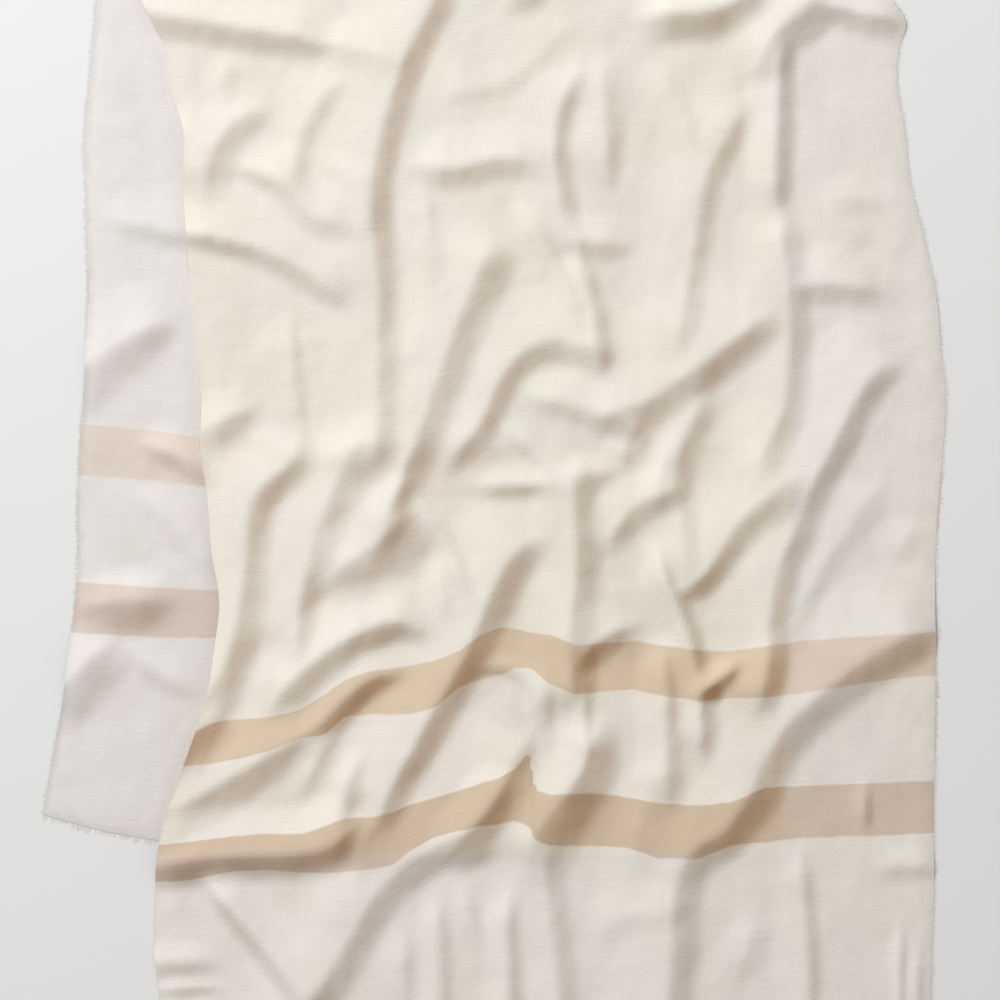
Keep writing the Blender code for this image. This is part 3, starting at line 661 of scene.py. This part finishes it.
def gauze_material(settings):
    """Open plain-weave gauze: cream over a second layer, paler and sheer where it lies alone.

    Attributes: under, how far a second layer reaches past a place; beneath, its distance from its end;
    contact, 1 where the layers touch; edge, the distance to a frayed edge; lee, the turn from the light,
    which tints the cloth as painted shade.
    """
    n = Nodes("woven_gauze")
    width, length, uv = n.cloth_axes()
    metres = n.add("TexCoord", output=3)
    under = n.attribute("under")

    wander = (n.noise(n.stretched(uv, (60.0, 12.0, 1.0)), 1.0, 1.0) - 0.5) * BAND_WANDER
    band = woven_band(length, wander)
    ghost = woven_band(n.attribute("beneath"), wander, GHOST_SOFT) * n.attribute("contact")
    ghost = ghost * under.between(0.0, 0.001)
    doubled = under.between(-0.007, 0.007)
    over_surface = under.between(LOWER_UNDER + 0.1, LOWER_UNDER + 0.2)

    alone = n.mix(over_surface, settings.pale, settings.sheer)
    cloth = n.mix(doubled, alone, settings.linen)
    # Soft patches, blotches and slubs, where the yarn is spun thicker.
    patch = n.noise(metres, 7.0, 2.0).between(0.4, 0.62)
    cloth = n.tint(1.0, cloth, n.mix(patch, (1.0, 0.976, 0.974), (0.997, 0.983, 0.964)))
    blotch = n.noise(n.stretched(metres, (1.0, 0.7, 1.0)), 26.0, 2.0).between(0.45, 0.8)
    cloth = n.tint(blotch * 0.6, cloth, (0.965, 0.955, 0.945))
    slub_weft = n.noise(n.stretched(uv, (18.0, 520.0, 1.0)), 1.0, 1.0)
    slub_warp = n.noise(n.stretched(uv, (560.0, 16.0, 1.0)), 1.0, 1.0)
    slub = slub_weft.between(0.5, 0.72) * 0.5 + slub_warp.between(0.5, 0.72) * 0.5
    cloth = n.tint(slub * 0.35, cloth, (0.93, 0.91, 0.89))
    # The layer beneath shows its bands faintly through, then come the cloth's own.
    cloth = n.tint(ghost * 0.18, cloth, (0.90, 0.84, 0.76))
    lone_band = n.mix(over_surface, settings.pale_tan, settings.sheer_tan)
    cloth = n.tint(band, cloth, n.mix(doubled, lone_band, settings.tan))
    # Painted shade: the sides turned away from the lamp are tinted darker and warmer, most of all in the
    # bands. The band nearest the end is deeper.
    depth = n.attribute("lee").between(0.1, 0.75)
    cloth = n.tint(depth, cloth, n.mix(doubled, (0.93, 0.905, 0.87), (0.925, 0.815, 0.70)))
    # painted shade again, stronger inside the tan bands
    cloth = n.tint(band * depth, cloth, (0.93, 0.85, 0.76))
    end_band = band * (1.0 - length.between(FIRST_BAND[1] + 0.02, SECOND_BAND[0] - 0.02))
    cloth = n.tint(end_band, cloth, (0.93, 0.91, 0.905))

    # The weave, slubs and crimp in relief, and the loosened edges.
    warp = (width * (2.0 * math.pi / WEAVE_REPEAT)).math("SINE")
    weft = (length * (2.0 * math.pi / WEAVE_REPEAT)).math("SINE")
    weave = warp * weft * 0.5 + 0.5
    loose = n.noise(n.stretched(uv, (150.0, 240.0, 1.0)), 1.0, 2.0)
    relief = weave * 0.35 + slub_weft * 0.5 + slub_warp * 0.4 + loose * 1.3
    tufts = n.noise(uv, 75.0, 1.0) - 0.5
    loosened = 1.0 - (n.attribute("edge") + tufts * LOOSE_UNEVEN).between(0.0, LOOSE_EDGE)
    cloth = n.tint(loosened, cloth, (0.90, 0.925, 0.945))
    bump = n.add("Bump", {"Strength": 0.55, "Distance": 0.00045, "Height": relief})
    cloth_shader = n.add("BsdfPrincipled", {
        "Base Color": cloth, "Roughness": 0.94, "Specular IOR Level": 0.12, "Sheen Weight": 0.12,
        "Sheen Roughness": 0.6, "Normal": bump})
    light_through = n.add("BsdfTranslucent", {"Color": cloth, "Normal": bump})
    return n.finish(n.add("MixShader", {0: 0.22, 1: cloth_shader, 2: light_through}))


def fray_material(settings):
    """Loose undyed yarn, slightly uneven in colour."""
    n = Nodes("loose_yarn")
    metres = n.add("TexCoord", output=3)
    shade = n.noise(metres, 700.0, 2.0)
    colour = n.mix(shade.between(0.3, 0.7), settings.pale, settings.sheer)
    colour = n.tint(woven_band(n.attribute("length"), 0.0), colour, settings.sheer_tan)
    bump = n.add("Bump", {"Strength": 0.3, "Distance": 0.0001, "Height": n.noise(metres, 4000.0)})
    shader = n.add("BsdfPrincipled", {
        "Base Color": colour, "Roughness": 0.95, "Specular IOR Level": 0.1, "Sheen Weight": 0.1,
        "Normal": bump, "Alpha": 0.38})
    light_through = n.add("BsdfTranslucent", {"Color": colour})
    return n.finish(n.add("MixShader", {0: 0.3, 1: shader, 2: light_through}))


def surface_material(settings):
    """Pale matt board."""
    n = Nodes("pale_board")
    metres = n.add("TexCoord", output=3)
    grain = n.noise(metres, 40.0, 2.0)
    colour = n.mix(grain, settings.surface, tuple(0.99 * c for c in settings.surface))
    return n.finish(n.add(
        "BsdfPrincipled", {"Base Color": colour, "Roughness": 0.9, "Specular IOR Level": 0.1}))


def link(name, mesh, finish):
    """A named piece at the origin, with its finish."""
    piece = bpy.data.objects.new(name, mesh)
    mesh.materials.append(bpy.data.materials[finish])
    mesh.shade_smooth()
    bpy.context.scene.collection.objects.link(piece)
    return piece


def hemmed(share, cells):
    """Even shares from 0 to 1, with a very narrow first and last cell so that the rim shades as a rim."""
    row = np.round(share * cells)
    inner = np.clip((row - 1) / (cells - 2), RIM_SHARE, 1.0 - RIM_SHARE)
    return np.where(row == 0, 0.0, np.where(row == cells, 1.0, inner))


def woven_sheet(name, cells, place, wall):
    """A grid of cloth. place(u, v) gives its points, where they are along the cloth, and its attributes."""
    grid = bmesh.new()
    bmesh.ops.create_grid(grid, x_segments=cells[0], y_segments=cells[1], size=0.5)
    share = np.array([vert.co for vert in grid.verts]) + 0.5
    u = hemmed(share[:, 0], cells[0])
    v = hemmed(1.0 - share[:, 1], cells[1])
    points, cloth, values = place(u, v)
    for vert, point in zip(grid.verts, points):
        vert.co = point
    uv = grid.loops.layers.uv.new("cloth")
    for face in grid.faces:
        for loop in face.loops:
            loop[uv].uv = cloth[loop.vert.index]
    mesh = bpy.data.meshes.new(name)
    grid.to_mesh(mesh)
    grid.free()
    normals = np.empty(3 * len(mesh.vertices), dtype=np.float32)
    mesh.vertices.foreach_get("normal", normals)
    normals = normals.reshape(-1, 3)
    # lee: how far each point faces away from the lamp, used for the painted shade of the gauze
    values["lee"] = np.clip(normals[:, 0] * LEE_WAY[0] + normals[:, 1] * LEE_WAY[1], 0.0, 1.0)
    for key, value in values.items():
        layer = mesh.attributes.new(key, "FLOAT", "POINT")
        layer.data.foreach_set("value", value.astype(np.float32))
    sheet = link(name, mesh, "woven_gauze")
    shell = sheet.modifiers.new("shell", "SOLIDIFY")
    shell.thickness = wall
    shell.offset = -1.0
    shell.use_rim = True
    return sheet


class SCARF_OT_lower_half(bpy.types.Operator):
    """Lay the lower half, whose left side shows"""

    bl_idname = "scarf.lower_half"
    bl_label = "Lower half"

    def execute(self, context):
        wall = context.scene.scarf.wall

        def place(u, v):
            across, down = half_places(u, v, LOWER)
            bare = smooth((follow(OUTLINE, UPPER.left, down) - across) / BARE_CALM)
            bare *= inside_edges(across, down, LOWER)
            height = lower_shape(across, down, wall) + crinkle(across, down, LOWER_CRINKLE) * bare
            length = from_end(across, down, LOWER)
            values = {
                "edge": frayed_edge(across, down, LOWER),
                "under": np.full(u.shape, LOWER_UNDER),
                "beneath": np.full(u.shape, LOWER_BENEATH),
                "contact": np.zeros(u.shape),
            }
            return to_metres(across, down, height), np.column_stack([u * CUT_WIDTH, length]), values

        sheet = woven_sheet("lower_half", LOWER_CELLS, place, wall)
        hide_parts("lower_stretch")
        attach(sheet, "root")
        return {"FINISHED"}


class SCARF_OT_upper_half(bpy.types.Operator):
    """Lay the upper half with its folds, and the roll where the cloth turns over"""

    bl_idname = "scarf.upper_half"
    bl_label = "Upper half"

    def execute(self, context):
        wall = context.scene.scarf.wall
        radius = FOLD_ROLL / 2
        arc = math.pi * radius
        turn = ROLL_ROWS / UPPER_CELLS[1]

        def place(u, v):
            flat = np.clip((v - turn) / (1.0 - turn), 0.0, 1.0)
            across, down = half_places(u, flat, UPPER)
            height = upper_shape(across, down, wall)
            points = to_metres(across, down, height)
            length = from_end(across, down, UPPER)
            run = (arc + FOLD_LEAF) * (1.0 - np.clip(v / turn, 0.0, 1.0))
            angle = np.clip(run / radius, 0.0, math.pi)
            points[:, 1] += radius * np.sin(angle) * (run > 0)
            rolled = radius + radius * np.cos(angle)
            points[:, 2] = np.where(run > 0, rolled, points[:, 2])
            points[:, 1] -= np.maximum(run - arc, 0.0)
            values = {
                "edge": frayed_edge(across, down, UPPER),
                "under": below_upper(across, down) * UNIT,
                "beneath": from_end(across, down, LOWER),
                "contact": 1.0 - smooth(upper_folds(across, down) / CONTACT_RISE),
            }
            return points, np.column_stack([u * CUT_WIDTH, length + run]), values

        sheet = woven_sheet("upper_half", UPPER_CELLS, place, wall)
        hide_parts("upper_stretch", "fold_stretch")
        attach(sheet, "root")
        return {"FINISHED"}


def edge_places(share, half, side):
    """Places along one edge of a half: its left or right side, or its woven end."""
    if side == "end":
        return half_places(share, np.ones(share.shape), half)
    return half_places(np.full(share.shape, 0.0 if side == "left" else 1.0), share, half)


def edge_frames(spots, half, side):
    """Places along an edge, with the directions along it and outward in metres."""
    across, down = edge_places(spots, half, side)
    ahead = edge_places(np.clip(spots + EDGE_STEP, 0.0, 1.0), half, side)
    behind = edge_places(np.clip(spots - EDGE_STEP, 0.0, 1.0), half, side)
    tangent = np.column_stack([ahead[0] - behind[0], behind[1] - ahead[1]])
    tangent /= np.hypot(tangent[:, 0], tangent[:, 1])[:, None]
    turn = 1.0 if side == "right" else -1.0
    outward = turn * np.column_stack([-tangent[:, 1], tangent[:, 0]])
    return across, down, tangent, outward


def fray(name, half, side, tuft, gather, seed):
    """Loose yarn ends along one edge, gathered into uneven tufts and bent a little each way."""
    yarn = bpy.context.scene.scarf.yarn
    shape = upper_shape if half == UPPER else lower_shape
    rng = random.Random(seed)
    probe = np.linspace(0.0, 1.0, EDGE_PROBES)
    across, down = edge_places(probe, half, side)
    travelled = np.concatenate([[0.0], np.cumsum(np.hypot(np.diff(across), np.diff(down)))]) * UNIT
    marks = (np.arange(int(travelled[-1] / FRAY_PITCH)) + 0.5) * FRAY_PITCH
    spots = np.interp(marks, travelled, probe)
    across, down, tangent, outward = edge_frames(spots, half, side)
    roots = to_metres(across, down, shape(across, down, bpy.context.scene.scarf.wall))
    lengths = from_end(across, down, half) * (1.0 if side != "end" else 0.0)

    curve = bpy.data.curves.new(name, "CURVE")
    curve.dimensions = "3D"
    curve.bevel_depth = yarn / 2
    curve.bevel_resolution = 0
    curve.use_fill_caps = True
    centre, width, tuft_reach = 0.0, tuft, 1.0
    for mark, root, out, along in zip(marks, roots, outward, tangent):
        if mark > centre + width / 2:
            width = tuft * rng.uniform(*TUFT_WIDTHS)
            centre = mark + width / 2
            tuft_reach = rng.uniform(*TUFT_REACHES)
        length = half.fray[side] * tuft_reach * rng.uniform(*YARN_REACHES)
        pull = (centre - mark) * rng.uniform(LEAST_PULL, gather)
        bend = rng.uniform(-YARN_BEND, YARN_BEND) * length
        lift = rng.uniform(0.0, YARN_BOW)
        spline = curve.splines.new("POLY")
        spline.points.add(FRAY_STEPS)
        for index in range(FRAY_STEPS + 1):
            t = index / FRAY_STEPS
            run = length * t - FRAY_ROOT * (1.0 - t)
            aside = pull * t + bend * t * (t - BEND_TURN)
            x = root[0] + out[0] * run + along[0] * aside
            y = root[1] + out[1] * run + along[1] * aside
            z = max(root[2] - yarn * (YARN_DROP + t), YARN_REST * yarn) + lift * math.sin(math.pi * t)
            spline.points[index].co = (x, y, z, 1.0)
            spline.points[index].radius = 1.0 - YARN_TAPER * t
    rope = bpy.data.objects.new(name + "_curve", curve)
    bpy.context.scene.collection.objects.link(rope)
    mesh = bpy.data.meshes.new_from_object(rope.evaluated_get(bpy.context.evaluated_depsgraph_get()))
    bpy.data.objects.remove(rope)
    mesh.name = name
    mesh.materials.clear()
    layer = mesh.attributes.new("length", "FLOAT", "POINT")
    layer.data.foreach_set("value", np.repeat(lengths, len(mesh.vertices) // len(lengths)).astype(np.float32))
    return link(name, mesh, "loose_yarn")


# piece, node, half, side, width of a tuft, how far its yarns may draw together, seed
FRAYS = (
    ("upper_end_fray", "upper_end_fringe", UPPER, "end", 0.013, 0.6, 11),
    ("upper_left_fray", "upper_left_fringe", UPPER, "left", 0.010, 0.3, 12),
    ("upper_right_fray", "upper_right_fringe", UPPER, "right", 0.010, 0.3, 13),
    ("lower_end_fray", "lower_end_fringe", LOWER, "end", 0.014, 0.6, 14),
    ("lower_left_fray", "lower_left_fringe", LOWER, "left", 0.010, 0.3, 15),
)


class SCARF_OT_fray(bpy.types.Operator):
    """Add the loose yarn ends of the frayed sides and ends"""

    bl_idname = "scarf.fray"
    bl_label = "Frayed edges"

    def execute(self, context):
        for name, node, *edge in FRAYS:
            piece = fray(name, *edge)
            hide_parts(node)
            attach(piece, "root")
        return {"FINISHED"}


class SCARF_OT_finishes(bpy.types.Operator):
    """Make the finishes of the gauze, the loose yarn and the surface"""

    bl_idname = "scarf.finishes"
    bl_label = "Finishes"

    def execute(self, context):
        settings = context.scene.scarf
        gauze_material(settings)
        fray_material(settings)
        surface_material(settings)
        return {"FINISHED"}


class SCARF_OT_stage(bpy.types.Operator):
    """Set the pale surface, the soft light from the upper left and the camera straight above"""

    bl_idname = "scarf.stage"
    bl_label = "Surface, light and camera"

    def execute(self, context):
        scene = context.scene
        ground = bmesh.new()
        bmesh.ops.create_grid(ground, x_segments=1, y_segments=1, size=8.0)
        bmesh.ops.translate(ground, verts=ground.verts, vec=(0.0, 0.0, -SURFACE_GAP))
        mesh = bpy.data.meshes.new("surface")
        ground.to_mesh(mesh)
        ground.free()
        floor = link("surface", mesh, "pale_board")

        world = bpy.data.worlds.new("room")
        world.use_nodes = True
        sky = world.node_tree.nodes["Background"]
        sky.inputs["Color"].default_value = (1.0, 0.93, 0.86, 1.0)
        sky.inputs["Strength"].default_value = 0.46
        scene.world = world

        window = bpy.data.lights.new("window", "AREA")
        window.shape = "DISK"
        window.size = 1.6
        window.energy = 214.0
        window.color = (0.91, 0.955, 1.0)
        lamp = bpy.data.objects.new("window", window)
        lamp.location = (-2.08, 3.05, 3.09)
        aim = Vector((0.05, -0.02, 0.0)) - lamp.location
        lamp.rotation_euler = aim.to_track_quat("-Z", "Y").to_euler()
        scene.collection.objects.link(lamp)

        view = bpy.data.cameras.new("camera")
        view.sensor_width = 36.0
        height = 5.0
        view.lens = view.sensor_width * height / (PICTURE * UNIT)
        view.clip_end = 50.0
        camera = bpy.data.objects.new("camera", view)
        camera.location = to_metres(PICTURE / 2, PICTURE / 2, height)[0]
        scene.collection.objects.link(camera)
        scene.camera = camera
        scene.view_settings.view_transform = "Standard"
        return {"FINISHED"}


class SCARF_PT_panel(bpy.types.Panel):
    """The scarf's settings and steps"""

    bl_idname = "SCARF_PT_panel"
    bl_label = "Gauze scarf"
    bl_space_type = "VIEW_3D"
    bl_region_type = "UI"
    bl_category = "Scarf"

    def draw(self, context):
        for key in ScarfSettings.__annotations__:
            self.layout.prop(context.scene.scarf, key)
        for step in STEPS:
            self.layout.operator(step.bl_idname)


STEPS = (SCARF_OT_finishes, SCARF_OT_stage, SCARF_OT_lower_half, SCARF_OT_upper_half, SCARF_OT_fray)
CLASSES = (ScarfSettings, *STEPS, SCARF_PT_panel)


def register():
    for item in CLASSES:
        bpy.utils.register_class(item)
    bpy.types.Scene.scarf = PointerProperty(type=ScarfSettings)


def unregister():
    del bpy.types.Scene.scarf
    for item in reversed(CLASSES):
        bpy.utils.unregister_class(item)


def main():
    register()
    bpy.ops.scarf.finishes()
    bpy.ops.scarf.stage()
    bpy.ops.scarf.lower_half()
    bpy.ops.scarf.upper_half()
    bpy.ops.scarf.fray()


if __name__ == "__main__":
    main()
